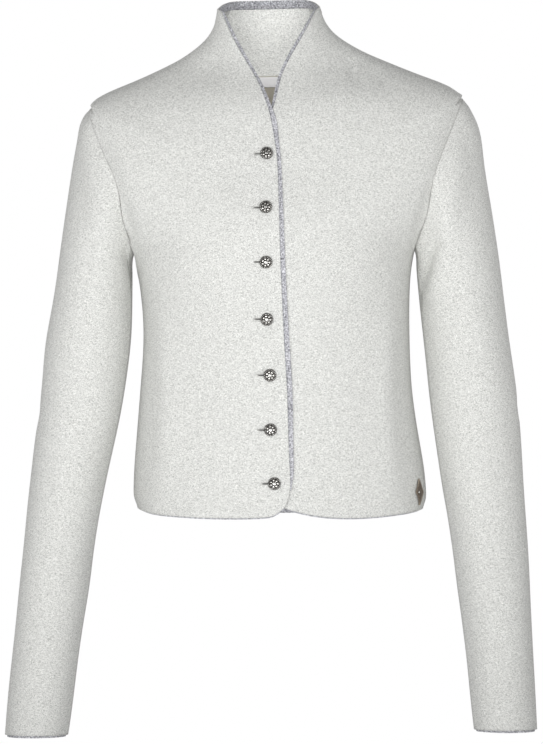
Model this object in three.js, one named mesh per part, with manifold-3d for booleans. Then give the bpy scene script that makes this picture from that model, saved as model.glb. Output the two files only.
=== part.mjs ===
// A woman's short jacket of boiled wool with a grown-on stand collar, worn and filled out.
// Millimetres, +Z up, the front faces -Y, and the origin lies between the shoulders that carry it.
// "Right" and "left" in names are the wearer's, so the right front lies at -X and on top.
import * as THREE from "three";
import { mergeVertices } from "three/addons/utils/BufferGeometryUtils.js";
import Module from "manifold-3d";

const wasm = await Module();
wasm.setup();

// Driving dimensions
const clothThickness = 2;
const edgingThickness = 1;
const seamGap = 0.3;
const sleeveSeamGap = 0.45;
const overlapLift = clothThickness + edgingThickness + 2 * seamGap;
const edgingInset = 6;
const hemEdgingShows = 1;
const cuffEdgingShows = 2;
const collarSeamTurn = THREE.MathUtils.degToRad(42);
const cornerFade = 1.8;
const right = -1;
const left = 1;

// Levels of the body from the hem to the top of the collar. The sides carry the seams.
// side, front, back: heights there; middle and half: centre and half width in X; chest and spine: depths;
// square: 2 is an ellipse.
const levels = [
  { side: -448, front: -456.5, back: -453, middle: 3, half: 147, chest: 112, spine: 100, square: 2.3 },
  { side: -410, front: -415, back: -413, middle: 2, half: 145, chest: 108, spine: 96, square: 2.3 },
  { side: -370, front: -372, back: -371, middle: 0, half: 140, chest: 104, spine: 92, square: 2.3 },
  { side: -330, front: -330, back: -330, middle: -1, half: 136, chest: 101, spine: 89, square: 2.3 },
  { side: -290, front: -288, back: -290, middle: -0.5, half: 133.5, chest: 103, spine: 90, square: 2.3 },
  { side: -250, front: -245, back: -250, middle: -1, half: 133, chest: 111, spine: 96, square: 2.3 },
  { side: -218, front: -206, back: -215, middle: -2.5, half: 135.5, chest: 118, spine: 102, square: 2.35 },
  { side: -195, front: -176, back: -188, middle: -2.5, half: 139.5, chest: 119, spine: 105, square: 2.4 },
  { side: -160, front: -148, back: -152, middle: -2, half: 165, chest: 114, spine: 106, square: 2.4 },
  { side: -120, front: -122, back: -117, middle: -2, half: 184, chest: 105, spine: 104, square: 2.4 },
  { side: -80, front: -98, back: -87, middle: -3, half: 190, chest: 98, spine: 99, square: 2.35 },
  { side: -39, front: -77, back: -62, middle: -2, half: 187, chest: 91, spine: 92, square: 2.3 },
  { side: -26.5, front: -60, back: -46, middle: -1, half: 165.5, chest: 85, spine: 86, square: 2.3 },
  { side: -16, front: -46, back: -30, middle: -2, half: 136, chest: 79, spine: 80, square: 2.3 },
  { side: 0, front: -28, back: -10, middle: -3, half: 101, chest: 67, spine: 72, square: 2.2 },
  { side: 17, front: -6, back: 11, middle: -5, half: 73, chest: 54, spine: 64, square: 2.1 },
  { side: 32, front: 17, back: 33, middle: -6.8, half: 58, chest: 49, spine: 57, square: 2.1 },
  { side: 51.5, front: 46, back: 61, middle: -8.5, half: 51.5, chest: 47, spine: 54, square: 2.1 },
];
const underarmLevel = 7;
const shoulderLevel = 11;
const neckLevel = 14;
const topLevel = levels.length - 1;
// How sharply a level's height turns up or down towards the side seams, on the body and at the collar's top
const sideTurn = { body: 3.5, collar: 9 };
const collarLevel = 15;

// How far the levels lean: the rise for each millimetre towards the wearer's left.
const leans = [
  { level: 0, rise: 0 },
  { level: 4, rise: 0 },
  { level: 7, rise: 0.012 },
  { level: 9, rise: 0.024 },
  { level: 13, rise: 0.03 },
  { level: 15, rise: 0.036 },
  { level: 17, rise: 0.024 },
];

// Where the armhole cuts each level, as a share of the half width at the front and at the back.
const armholeCuts = [
  { level: 7, front: 1, back: 1 },
  { level: 8, front: 0.925, back: 0.915 },
  { level: 9, front: 0.86, back: 0.85 },
  { level: 10, front: 0.91, back: 0.9 },
  { level: 11, front: 1, back: 1 },
];

// Cut edges of the two fronts, from the hem up: the place in X and how far the edging shows past the cloth.
const rightFrontEdge = [
  { height: -470, x: 13.5, shows: 0.8 },
  { height: -441, x: 13.5, shows: 2 },
  { height: -425, x: 13.4, shows: 3.6 },
  { height: -380, x: 11.5, shows: 5 },
  { height: -331, x: 9.6, shows: 5.5 },
  { height: -280, x: 7, shows: 5.5 },
  { height: -210, x: 3.2, shows: 5 },
  { height: -140, x: 1, shows: 5 },
  { height: -100, x: 0, shows: 4.5 },
  { height: -78, x: -3.4, shows: 4.5 },
  { height: -62, x: -6.4, shows: 5 },
  { height: -49, x: -10, shows: 3.8 },
  { height: -22, x: -20.5, shows: 3.8 },
  { height: 7, x: -37, shows: 3.8 },
  { height: 31, x: -50, shows: 3.6 },
  { height: 60, x: -61, shows: 3 },
];
const leftFrontEdge = [
  { height: -470, x: -24, shows: 1 },
  { height: -425, x: -24, shows: 3 },
  { height: -160, x: -24, shows: 3 },
  { height: -120, x: -21.5, shows: 3 },
  { height: -85, x: -16, shows: 3 },
  { height: -62, x: -8.5, shows: 3 },
  { height: -48, x: -3, shows: 3 },
  { height: -29, x: 1.5, shows: 3.6 },
  { height: -13, x: 6, shows: 3.6 },
  { height: 7, x: 17, shows: 3.6 },
  { height: 31, x: 31, shows: 3.6 },
  { height: 60, x: 45, shows: 3 },
];
const hemCorner = {
  [right]: { width: 24, height: 28 },
  [left]: { width: 78, height: 40 },
};

// Sleeve sections by height: middle and half width in X, half depth and place in Y.
const rightSleeveSections = [
  { height: -215, middle: -182, half: 38.5, depth: 56, forward: 4 },
  { height: -250, middle: -185, half: 41, depth: 56, forward: 4 },
  { height: -290, middle: -190, half: 43.7, depth: 54, forward: 3 },
  { height: -330, middle: -194, half: 42, depth: 51, forward: 0 },
  { height: -370, middle: -200, half: 41, depth: 49, forward: -3 },
  { height: -410, middle: -207, half: 39, depth: 47, forward: -7 },
  { height: -450, middle: -213, half: 37, depth: 45, forward: -11 },
  { height: -490, middle: -218, half: 36, depth: 43.5, forward: -15 },
  { height: -530, middle: -222.5, half: 35.4, depth: 42, forward: -19 },
  { height: -570, middle: -228, half: 34.2, depth: 41, forward: -23 },
  { height: -610, middle: -232.6, half: 33.4, depth: 40, forward: -27 },
  { height: -650, middle: -236.6, half: 32.6, depth: 39, forward: -31 },
  { height: -672.5, middle: -239.2, half: 32, depth: 38.5, forward: -33 },
];
const leftSleeveSections = [
  { height: -215, middle: 182, half: 43, depth: 56, forward: 4 },
  { height: -250, middle: 185.6, half: 43.6, depth: 56, forward: 4 },
  { height: -290, middle: 190.5, half: 43.6, depth: 54, forward: 3 },
  { height: -330, middle: 196, half: 45, depth: 51, forward: 0 },
  { height: -370, middle: 199.5, half: 44.4, depth: 49, forward: -3 },
  { height: -410, middle: 203.5, half: 42.5, depth: 47, forward: -7 },
  { height: -450, middle: 208.5, half: 40.5, depth: 45, forward: -11 },
  { height: -490, middle: 212.5, half: 38.5, depth: 43.5, forward: -15 },
  { height: -530, middle: 216.5, half: 36.6, depth: 42, forward: -19 },
  { height: -570, middle: 220, half: 35, depth: 41, forward: -23 },
  { height: -610, middle: 223, half: 34, depth: 40, forward: -27 },
  { height: -650, middle: 226, half: 33, depth: 39, forward: -31 },
  { height: -667.5, middle: 227.4, half: 32.4, depth: 38.5, forward: -33 },
];
const cuffSlope = { [right]: -0.02, [left]: -0.06 };
const strandsOnHalf = 10;
const frontSeamStrand = 9;
const backSeamStrand = 14;

// Buttons: height and X of the centre
const buttonPlaces = [
  { height: -97, x: -10 },
  { height: -150, x: -11.5 },
  { height: -204, x: -11 },
  { height: -260, x: -10 },
  { height: -315, x: -7 },
  { height: -369, x: -6 },
  { height: -422, x: -2.2 },
];
const button = { radius: 6.2, thickness: 2.4, rim: 0.7, shankWidth: 3.2, shankThickness: 1.2 };
const buttonhole = { fromCentre: 2.2, length: 14.4, height: 1.8 };

const patch = { height: -431, x: 141, width: 20, tall: 27, thickness: 1.2, cells: 6 };
const label = { width: 36, levels: [13.37, 13.62, 13.87], thickness: 0.5 };
const facingThickness = 0.8;

// Colours and finishes
const finishes = {
  wool: { color: 0xdfe0dc, roughness: 0.95, metalness: 0 },
  edging: { color: 0xb4b5ba, roughness: 0.95, metalness: 0 },
  silver: { color: 0x8f8b86, roughness: 0.38, metalness: 1 },
  leather: { color: 0x70645a, roughness: 0.6, metalness: 0 },
  facing: { color: 0x9b968a, roughness: 0.8, metalness: 0 },
  label: { color: 0xe9e7e9, roughness: 0.7, metalness: 0 },
};

const jacket = new THREE.Group();

function addPiece(name, geometry, finish) {
  const piece = new THREE.Mesh(geometry, new THREE.MeshStandardMaterial(finishes[finish]));
  piece.name = name;
  jacket.add(piece);
  return piece;
}

// A smooth curve through a table's rows: the value of one column at a place given in another.
function alongTable(rows, key, column, place) {
  let i = 0;
  while (i < rows.length - 2 && place > rows[i + 1][key]) i += 1;
  const slope = (k) => {
    const before = rows[Math.max(k - 1, 0)];
    const after = rows[Math.min(k + 1, rows.length - 1)];
    return (after[column] - before[column]) / (after[key] - before[key]);
  };
  const span = rows[i + 1][key] - rows[i][key];
  const t = (place - rows[i][key]) / span;
  if (t < 0) return rows[i][column] + slope(i) * t * span;
  if (t > 1) return rows[i + 1][column] + slope(i + 1) * (t - 1) * span;
  return (
    rows[i][column] * (2 * t ** 3 - 3 * t ** 2 + 1) +
    slope(i) * span * (t ** 3 - 2 * t ** 2 + t) +
    rows[i + 1][column] * (3 * t ** 2 - 2 * t ** 3) +
    slope(i + 1) * span * (t ** 3 - t ** 2)
  );
}

const numberedLevels = levels.map((row, number) => ({ ...row, number }));
const levelValue = (column, level) => alongTable(numberedLevels, "number", column, level);
const byHeight = (rows) => rows.slice().sort((a, b) => a.height - b.height);
const sleeveSections = { [right]: byHeight(rightSleeveSections), [left]: byHeight(leftSleeveSections) };
const frontEdges = { [right]: rightFrontEdge, [left]: leftFrontEdge };

const smooth = (from, to, value) => THREE.MathUtils.smoothstep(value, from, to);
const signedPower = (value, power) => Math.sign(value) * Math.abs(value) ** power;

// A point of the body's outer face. The turn is 0 at the wearer's left side, a quarter at the front,
// a half at the right side and three quarters at the back.
function bodyPoint(turn, level) {
  const value = (column) => levelValue(column, level);
  const cosine = Math.cos(turn);
  const sine = Math.sin(turn);
  const power = 2 / value("square");
  const x = value("middle") + value("half") * signedPower(cosine, power);
  const y = -value(sine > 0 ? "chest" : "spine") * signedPower(sine, power);
  const far = value(sine > 0 ? "front" : "back");
  const sharp = THREE.MathUtils.lerp(sideTurn.body, sideTurn.collar, smooth(collarLevel, topLevel, level));
  const away = 1 - Math.abs(cosine) ** sharp;
  const z = value("side") + (far - value("side")) * away + alongTable(leans, "level", "rise", level) * x;
  return new THREE.Vector3(x, y, z);
}

const turnStep = 0.01;
const levelStep = 0.05;

function bodyTangent(turn, level) {
  const ahead = bodyPoint(turn + turnStep, level);
  return ahead.sub(bodyPoint(turn - turnStep, level)).divideScalar(2 * turnStep);
}

function bodyNormal(turn, level) {
  const up = bodyPoint(turn, level + levelStep).sub(bodyPoint(turn, level - levelStep));
  return up.cross(bodyTangent(turn, level)).normalize();
}

// The turn at an angle in front of a side seam (positive) or behind it (negative).
const turnFromSide = (side, angle) => (side === right ? Math.PI - angle : angle);

// The angle from the side seam at which the armhole cuts the front or back.
function scyeAngle(level, panel) {
  const share = Math.min(alongTable(armholeCuts, "level", panel, level), 1);
  return Math.acos(share ** (levelValue("square", level) / 2));
}

// The level at a share of the way down the armhole, closer together at its round ends.
function armholeLevel(share) {
  const round = (1 - Math.cos(Math.PI * share)) / 2;
  return THREE.MathUtils.lerp(shoulderLevel, underarmLevel, 0.7 * round + 0.3 * share);
}

// The angle of a front's outer edge, which is the side seam, armhole, shoulder seam and collar seam in turn,
// and the same for the back.
function outerAngle(level, panel) {
  if (level > underarmLevel && level < shoulderLevel) {
    return panel === "front" ? scyeAngle(level, "front") : -scyeAngle(level, "back");
  }
  return -collarSeamTurn * smooth(neckLevel - 0.5, topLevel, level);
}

// The angle from the side seam of a front's cut edge at a level, found by halving.
function frontEdgeAngle(side, level) {
  let low = -0.2;
  let high = 2.3;
  for (let step = 0; step < 40; step += 1) {
    const angle = (low + high) / 2;
    const point = bodyPoint(turnFromSide(side, angle), level);
    const edge = alongTable(frontEdges[side], "height", "x", point.z);
    if ((point.x - edge) * side > 0) low = angle;
    else high = angle;
  }
  return (low + high) / 2;
}

// How far the upper front stands off where it lies on the lower one. It starts to rise some way outside
// the lower front's edge and is down again where the two fronts part at the neck.
const rises = { fromX: -74, toX: -30 };
const settles = { fromHeight: -44, toHeight: -4 };
function liftAt(side, point) {
  if (side === left) return 0;
  const across = smooth(rises.fromX, rises.toX, point.x);
  return overlapLift * across * (1 - smooth(settles.fromHeight, settles.toHeight, point.z));
}

// How far up the body's levels the rounded corner at a front's lower end moves a point.
function cornerLevel(side, across, level, turn) {
  const corner = hemCorner[side];
  const near = 1 - THREE.MathUtils.clamp(across / corner.width, 0, 1);
  const height = bodyPoint(turn, level).z - bodyPoint(turn, 0).z;
  const fade = 1 - THREE.MathUtils.clamp(height / (corner.height * cornerFade), 0, 1);
  const raise = corner.height * (1 - Math.sqrt(1 - near ** 2)) * fade;
  const rise = (bodyPoint(turn, level + 1).z - bodyPoint(turn, level).z) || 1;
  return level + raise / rise;
}

// A place on a front: its outer point and normal, with the lift and the rounded corner.
function frontPlace(side, level, angle, across) {
  const turn = turnFromSide(side, angle);
  const raised = cornerLevel(side, across, level, turn);
  const point = bodyPoint(turn, raised);
  const normal = bodyNormal(turn, raised);
  return { point: point.addScaledVector(normal, liftAt(side, point)), normal };
}

const offset = (place, distance) => place.point.clone().addScaledVector(place.normal, distance);

// Rows of the panels: close together at the hem, spread evenly round the armhole, then up the collar.
const hemRows = [0, 0.22, 0.45, 0.75, 1.15, 1.75, 2.5, 3.25, 4, 4.7, 5.4, 6.2];
const armholeRows = Array.from({ length: strandsOnHalf + 1 }, (_, i) => armholeLevel(1 - i / strandsOnHalf));
const collarRows = [11.8, 12.8, 13.9, 14.4, 15, 15.6, 16.2, 16.74, 17];
const rowLevels = [...hemRows, ...armholeRows, ...collarRows];
const hemEdgingRows = 2;
const collarEdgingRows = [16.74, 17];

const edgingColumns = 3;
const fixedColumns = [0, edgingInset / 2, edgingInset, 12, 19];
const freeColumns = 8;
const scyePull = 2.5;

// Shifts a seam edge back by half a seam gap.
function seamAngle(side, level, panel) {
  const angle = outerAngle(level, panel);
  const inArmhole = level > underarmLevel && level < shoulderLevel;
  if (inArmhole) return angle;
  const speed = bodyTangent(turnFromSide(side, angle), level).length();
  return angle + (panel === "front" ? 1 : -1) * (seamGap / 2 / speed);
}

// The columns of a front at one level, as places from its cut edge to its outer edge.
function frontRow(side, level) {
  const edge = frontEdgeAngle(side, level);
  const end = seamAngle(side, level, "front");
  const speed = bodyTangent(turnFromSide(side, edge), level).length();
  const places = fixedColumns.map((across) => frontPlace(side, level, edge - across / speed, across));
  const first = edge - fixedColumns[fixedColumns.length - 1] / speed;
  const pull = Math.max(end, 0);
  for (let i = 1; i <= freeColumns; i += 1) {
    const share = i / freeColumns;
    const angle = THREE.MathUtils.lerp(first, end - pull, share) + pull * share ** scyePull;
    places.push(frontPlace(side, level, angle, (edge - angle) * speed));
  }
  return places;
}

const frontGrids = {
  [right]: rowLevels.map((level) => frontRow(right, level)),
  [left]: rowLevels.map((level) => frontRow(left, level)),
};

const backColumns = 14;
const backGrid = rowLevels.map((level) => {
  const angle = seamAngle(right, level, "back");
  const inArmhole = level > underarmLevel && level < shoulderLevel;
  const pull = inArmhole ? angle : 0;
  return Array.from({ length: backColumns + 1 }, (_, i) => {
    const share = (2 * i) / backColumns - 1;
    const outwards = Math.abs(share);
    const reach = (Math.PI / 2 + angle - pull) * outwards + pull * outwards ** scyePull;
    const turn = 1.5 * Math.PI + Math.sign(share) * reach;
    return { point: bodyPoint(turn, level), normal: bodyNormal(turn, level) };
  });
});

// A closed wall between an outer and an inner grid of points. Cells can be left out or split along their
// other diagonal, and a grid can close on itself.
function wall(outer, inner, { kept = () => true, closed = false, turned = () => false } = {}) {
  const rows = outer.length;
  const columns = outer[0].length;
  const corners = [...outer.flat(), ...inner.flat()];
  const faces = [];
  const edges = new Map();
  const addFace = (...face) => faces.push(face);
  for (let j = 0; j < rows - 1; j += 1) {
    for (let i = 0; i < (closed ? columns : columns - 1); i += 1) {
      if (!kept(i, j)) continue;
      const next = (i + 1) % columns;
      const quad = [j * columns + i, j * columns + next, (j + 1) * columns + next, (j + 1) * columns + i];
      const start = turned(i) ? 1 : 0;
      const [a, b, c, d] = [0, 1, 2, 3].map((k) => quad[(k + start) % 4]);
      const under = rows * columns;
      addFace(a, b, c);
      addFace(a, c, d);
      addFace(a + under, c + under, b + under);
      addFace(a + under, d + under, c + under);
      quad.forEach((corner, side) => {
        const end = quad[(side + 1) % 4];
        if (!edges.delete(end + "," + corner)) edges.set(corner + "," + end, [corner, end]);
      });
    }
  }
  for (const [start, end] of edges.values()) {
    const startUnder = start + rows * columns;
    const endUnder = end + rows * columns;
    if (start < end) {
      addFace(start, endUnder, end);
      addFace(start, startUnder, endUnder);
    } else {
      addFace(start, startUnder, end);
      addFace(end, startUnder, endUnder);
    }
  }
  return solidGeometry(corners, faces);
}

// A geometry from corners and faces, turned to face outwards.
function solidGeometry(corners, faces) {
  let volume = 0;
  for (const [a, b, c] of faces) {
    volume += corners[a].dot(corners[b].clone().cross(corners[c]));
  }
  const indices = volume > 0 ? faces : faces.map(([a, b, c]) => [a, c, b]);
  const used = [...new Set(indices.flat())];
  const renumbered = new Map(used.map((corner, i) => [corner, i]));
  const geometry = new THREE.BufferGeometry().setFromPoints(used.map((corner) => corners[corner]));
  geometry.setIndex(indices.flat().map((corner) => renumbered.get(corner)));
  return geometry;
}

const offsetGrid = (grid, distance) => grid.map((row) => row.map((place) => offset(place, distance)));
const wallOn = (grid, from, to, options) => wall(offsetGrid(grid, from), offsetGrid(grid, to), options);

// manifold-3d solids from geometries and back
function toSolid(geometry) {
  const bare = geometry.clone();
  bare.deleteAttribute("normal");
  bare.deleteAttribute("uv");
  const merged = mergeVertices(bare, 1e-4);
  return new wasm.Manifold(
    new wasm.Mesh({
      numProp: 3,
      vertProperties: merged.getAttribute("position").array,
      triVerts: new Uint32Array(merged.index.array),
    }),
  );
}

function toGeometry(solid) {
  const mesh = solid.getMesh();
  const geometry = new THREE.BufferGeometry();
  geometry.setAttribute("position", new THREE.BufferAttribute(mesh.vertProperties, 3));
  geometry.setIndex(new THREE.BufferAttribute(mesh.triVerts, 1));
  return geometry;
}

// The place where a line, run along a direction, meets a wall's facets.
function dropOnto(geometry, from, direction) {
  const ray = new THREE.Raycaster(from, direction);
  const [hit] = ray.intersectObject(new THREE.Mesh(geometry));
  return { point: hit.point, normal: hit.face.normal.clone() };
}

const rightFrontWall = wallOn(frontGrids[right], 0, -clothThickness);
const leftFrontWall = wallOn(frontGrids[left], 0, -clothThickness);
const backwards = new THREE.Vector3(0, 1, 0);

// The place of a button on the right front, found from a point well in front of it.
const inFront = -200;
const buttonPlace = ({ height, x }) =>
  dropOnto(rightFrontWall, new THREE.Vector3(x, inFront, height), backwards);

// The matrix that sets local +Z along a normal and keeps local +X level.
function facing(place, distance) {
  const across = new THREE.Vector3(0, 0, 1).cross(place.normal).normalize();
  const up = place.normal.clone().cross(across);
  const matrix = new THREE.Matrix4().makeBasis(across, up, place.normal);
  return matrix.setPosition(offset(place, distance));
}

// Fronts and back
function rightFront() {
  let solid = toSolid(rightFrontWall);
  for (const row of buttonPlaces) {
    const cut = new THREE.BoxGeometry(buttonhole.length, buttonhole.height, 4 * clothThickness);
    cut.translate(buttonhole.fromCentre - buttonhole.length / 2, 0, 0);
    cut.applyMatrix4(facing(buttonPlace(row), -clothThickness / 2));
    solid = solid.subtract(toSolid(cut));
  }
  return toGeometry(solid);
}

addPiece("right_front", rightFront(), "wool");
addPiece("left_front", leftFrontWall, "wool");
addPiece("back", wallOn(backGrid, 0, -clothThickness), "wool");

// Armhole loop: strand 0 at the shoulder, then down the front to the underarm and up the back.
function armholePlace(side, strand) {
  const count = 2 * strandsOnHalf;
  const wrapped = ((strand % count) + count) % count;
  const front = wrapped <= strandsOnHalf;
  const share = front ? wrapped / strandsOnHalf : (count - wrapped) / strandsOnHalf;
  const level = armholeLevel(share);
  const angle = front ? scyeAngle(level, "front") : -scyeAngle(level, "back");
  const turn = turnFromSide(side, angle);
  return { point: bodyPoint(turn, level), normal: bodyNormal(turn, level) };
}

const armholeCentres = Object.fromEntries(
  [right, left].map((side) => {
    const centre = new THREE.Vector3();
    for (let i = 0; i < 2 * strandsOnHalf; i += 1) centre.add(armholePlace(side, i).point);
    return [side, centre.divideScalar(2 * strandsOnHalf)];
  }),
);

// The sleeve's own start, one seam gap away from the body's edge.
function sleeveStart(side, strand) {
  const place = armholePlace(side, strand);
  const along = armholePlace(side, strand + 0.3).point.sub(armholePlace(side, strand - 0.3).point);
  const away = place.normal.clone().cross(along).normalize();
  if (away.dot(armholeCentres[side].clone().sub(place.point)) < 0) away.negate();
  return { point: place.point.addScaledVector(away, sleeveSeamGap), normal: place.normal, along };
}

// The angle of a strand round the sleeve
const strandAngle = (strand) => (Math.PI * strand) / strandsOnHalf;

function sectionPoint(side, angle, height) {
  const value = (column) => alongTable(sleeveSections[side], "height", column, height);
  const reach = value("half") * Math.cos(angle);
  return new THREE.Vector3(
    value("middle") + side * reach,
    value("forward") - value("depth") * Math.sin(angle),
    height + cuffSlope[side] * reach * side * smooth(-500, -670, height),
  );
}

const sleeveTop = -215;
// How the strands leave the armhole and come in to the sleeve's top section: how much they lean out from the
// body, and the lengths of the curve's handles as shares of the distance, for short strands and long ones.
const sleeveHead = {
  leansOut: 0.45,
  short: 60,
  shortHandle: 0.36,
  long: 150,
  longHandle: 0.16,
  endHandle: 0.4,
};
const sectionStep = 20;
const cuffHeight = { [right]: -672.5, [left]: -667.5 };

// A point of the sleeve's outer face. Along is 0 at the armhole, 1 below the underarm and 2 at the cuff.
function sleevePoint(side, strand, along) {
  const angle = strandAngle(strand);
  if (along >= 1) {
    return sectionPoint(side, angle, THREE.MathUtils.lerp(sleeveTop, cuffHeight[side], along - 1));
  }
  const start = sleeveStart(side, strand);
  const end = sectionPoint(side, angle, sleeveTop);
  const below = sectionPoint(side, angle, sleeveTop - sectionStep).sub(end).normalize();
  const reach = start.point.distanceTo(end);
  const toEnd = end.clone().sub(start.point).normalize();
  const leaves = toEnd.addScaledVector(start.normal, sleeveHead.leansOut).normalize();
  const length = smooth(sleeveHead.short, sleeveHead.long, reach);
  const startHandle = THREE.MathUtils.lerp(sleeveHead.shortHandle, sleeveHead.longHandle, length);
  return new THREE.CubicBezierCurve3(
    start.point,
    start.point.clone().addScaledVector(leaves, reach * startHandle),
    end.clone().addScaledVector(below, -reach * sleeveHead.endHandle),
    end,
  ).getPoint(Math.max(along, 0));
}

function sleevePlace(side, strand, along) {
  const step = 0.02;
  const point = sleevePoint(side, strand, along);
  const low = Math.max(along - step, 0);
  const down = sleevePoint(side, strand, along + step).sub(sleevePoint(side, strand, low));
  const round = sleevePoint(side, strand + 0.2, along).sub(sleevePoint(side, strand - 0.2, along));
  const normal = down.clone().cross(round).multiplyScalar(-side).normalize();
  if (along === 0) {
    const start = sleeveStart(side, strand);
    const bend = THREE.MathUtils.clamp(4 * down.normalize().dot(start.normal), 0, 1);
    normal.multiplyScalar(bend).add(start.normal).normalize();
  }
  return { point, normal };
}

const capRows = [0, 0.14, 0.32, 0.54, 0.77];
const armRows = Array.from({ length: 14 }, (_, i) => 1 + (i * 0.98) / 13);
const sleeveRows = [...capRows, ...armRows, 2];
const cuffEdgingRows = [1.98, 2];

// Strands from one sleeve seam to the other, with half a seam gap at each end.
const strandStep = 0.1;
function seamStrands(side, from, to) {
  const strands = [];
  for (let strand = from; strand <= to; strand += 1) strands.push(strand);
  return (along) => {
    const width = (at) => {
      const ahead = sleevePoint(side, at + strandStep, along);
      return ahead.distanceTo(sleevePoint(side, at - strandStep, along)) / (2 * strandStep);
    };
    const shifted = strands.slice();
    shifted[0] += seamGap / 2 / width(from);
    shifted[shifted.length - 1] -= seamGap / 2 / width(to);
    return shifted;
  };
}

function sleeveGrid(side, from, to, rows) {
  const strandsAt = seamStrands(side, from, to);
  return rows.map((along) => strandsAt(along).map((strand) => sleevePlace(side, strand, along)));
}

for (const side of [right, left]) {
  const name = side === right ? "right" : "left";
  const wrap = 2 * strandsOnHalf;
  const upper = sleeveGrid(side, backSeamStrand, frontSeamStrand + wrap, sleeveRows);
  const under = sleeveGrid(side, frontSeamStrand, backSeamStrand, sleeveRows);
  addPiece(name + "_upper_sleeve", wallOn(upper, 0, -clothThickness), "wool");
  addPiece(name + "_under_sleeve", wallOn(under, 0, -clothThickness), "wool");
  const upperCuff = sleeveGrid(side, backSeamStrand, frontSeamStrand + wrap, cuffEdgingRows);
  const underCuff = sleeveGrid(side, frontSeamStrand, backSeamStrand, cuffEdgingRows);
  const cuff = upperCuff.map((row, j) => [...row, ...underCuff[j]]);
  const last = cuff[cuff.length - 1].map(({ point, normal }) => {
    return { point: point.clone().add(new THREE.Vector3(0, 0, -cuffEdgingShows)), normal };
  });
  const outside = -clothThickness - seamGap;
  const band = wallOn([...cuff, last], outside, outside - edgingThickness, { closed: true });
  addPiece(name + "_cuff_edging", band, "edging");
}

// Edging along the fronts, hem and collar, laid against the inner face
const edgingOutside = -clothThickness - seamGap;
const edgingInside = edgingOutside - edgingThickness;

function frontEdging(side) {
  const grid = rowLevels.map((level, j) => {
    const angle = frontEdgeAngle(side, level);
    const turn = turnFromSide(side, angle);
    const speed = bodyTangent(turn, level).length();
    const shows = alongTable(frontEdges[side], "height", "shows", bodyPoint(turn, level).z);
    const proud = frontPlace(side, level, angle + shows / speed, 0);
    return [proud, ...frontGrids[side][j].slice(0, edgingColumns)];
  });
  return wallOn(grid, edgingOutside, edgingInside);
}

// Moves the first place of each row sideways along the row by a seam gap.
function startLater(row) {
  const [first, second] = row;
  const share = (1.5 * seamGap) / first.point.distanceTo(second.point);
  const point = first.point.clone().lerp(second.point, share);
  const normal = first.normal.clone().lerp(second.normal, share).normalize();
  return [{ point, normal }, ...row.slice(1)];
}

const hemDrop = new THREE.Vector3(0, 0, -hemEdgingShows);

function hemEdging(rows) {
  const below = rows[0].map(({ point, normal }) => ({ point: point.clone().add(hemDrop), normal }));
  return wallOn([below, ...rows], edgingOutside, edgingInside);
}

for (const side of [right, left]) {
  const name = side === right ? "right" : "left";
  addPiece(name + "_front_edging", frontEdging(side), "edging");
  const lowest = frontGrids[side].slice(0, hemEdgingRows);
  const rows = lowest.map((row) => startLater(row.slice(edgingColumns - 1)));
  addPiece(name + "_hem_edging", hemEdging(rows), "edging");
}
addPiece("back_hem_edging", hemEdging(backGrid.slice(0, hemEdgingRows)), "edging");

// The collar's edging runs from one front edging round the back to the other.
function collarEdging() {
  const rows = collarEdgingRows.map((level) => {
    const j = rowLevels.indexOf(level);
    const fromRight = startLater(frontGrids[right][j].slice(edgingColumns - 1));
    const fromLeft = startLater(frontGrids[left][j].slice(edgingColumns - 1));
    return [...fromRight, ...backGrid[j], ...fromLeft.reverse()];
  });
  const top = rows[rows.length - 1].map(({ point, normal }) => {
    return { point: point.clone().sub(hemDrop), normal };
  });
  const leftStart = rows[0].length - frontGrids[left][0].length + edgingColumns - 1;
  return wallOn([...rows, top], edgingOutside, edgingInside, { turned: (i) => i >= leftStart });
}
addPiece("collar_edging", collarEdging(), "edging");

// Back neck facing: a half-moon of cells inside the back, and the bare label on it
const facingOutside = -clothThickness - seamGap;
const facingInside = facingOutside - facingThickness;
const facingRows = [19, 20, 21, 22, 23, 24, 25];
const facingReach = [1, 2, 2, 2, 2, 3];
const centreColumn = backColumns / 2;

function neckFacing() {
  const grid = facingRows.map((j) => backGrid[j]);
  const kept = (i, j) => Math.abs(i + 0.5 - centreColumn) < facingReach[j];
  return wallOn(grid, facingOutside, facingInside, { kept });
}
addPiece("neck_facing", neckFacing(), "facing");

// A place between the back's columns and rows, on the straight lines of the wall.
function backPlace(column, level) {
  const j = rowLevels.findLastIndex((at) => at <= level);
  const i = Math.min(Math.floor(column), backColumns - 1);
  const up = (level - rowLevels[j]) / (rowLevels[j + 1] - rowLevels[j]);
  const mix = (key) => {
    const low = backGrid[j][i][key].clone().lerp(backGrid[j][i + 1][key], column - i);
    const high = backGrid[j + 1][i][key].clone().lerp(backGrid[j + 1][i + 1][key], column - i);
    return low.lerp(high, up);
  };
  return { point: mix("point"), normal: mix("normal").normalize() };
}

function neckLabel() {
  const rows = label.levels.map((level) => {
    const middle = backPlace(centreColumn, level).point;
    const spacing = middle.distanceTo(backPlace(centreColumn + 1, level).point);
    const reach = label.width / 2 / spacing;
    return [-1, 0, 1].map((share) => backPlace(centreColumn + share * reach, level));
  });
  const outside = facingInside - seamGap;
  return wallOn(rows, outside, outside - label.thickness);
}
addPiece("neck_label", neckLabel(), "label");

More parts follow.
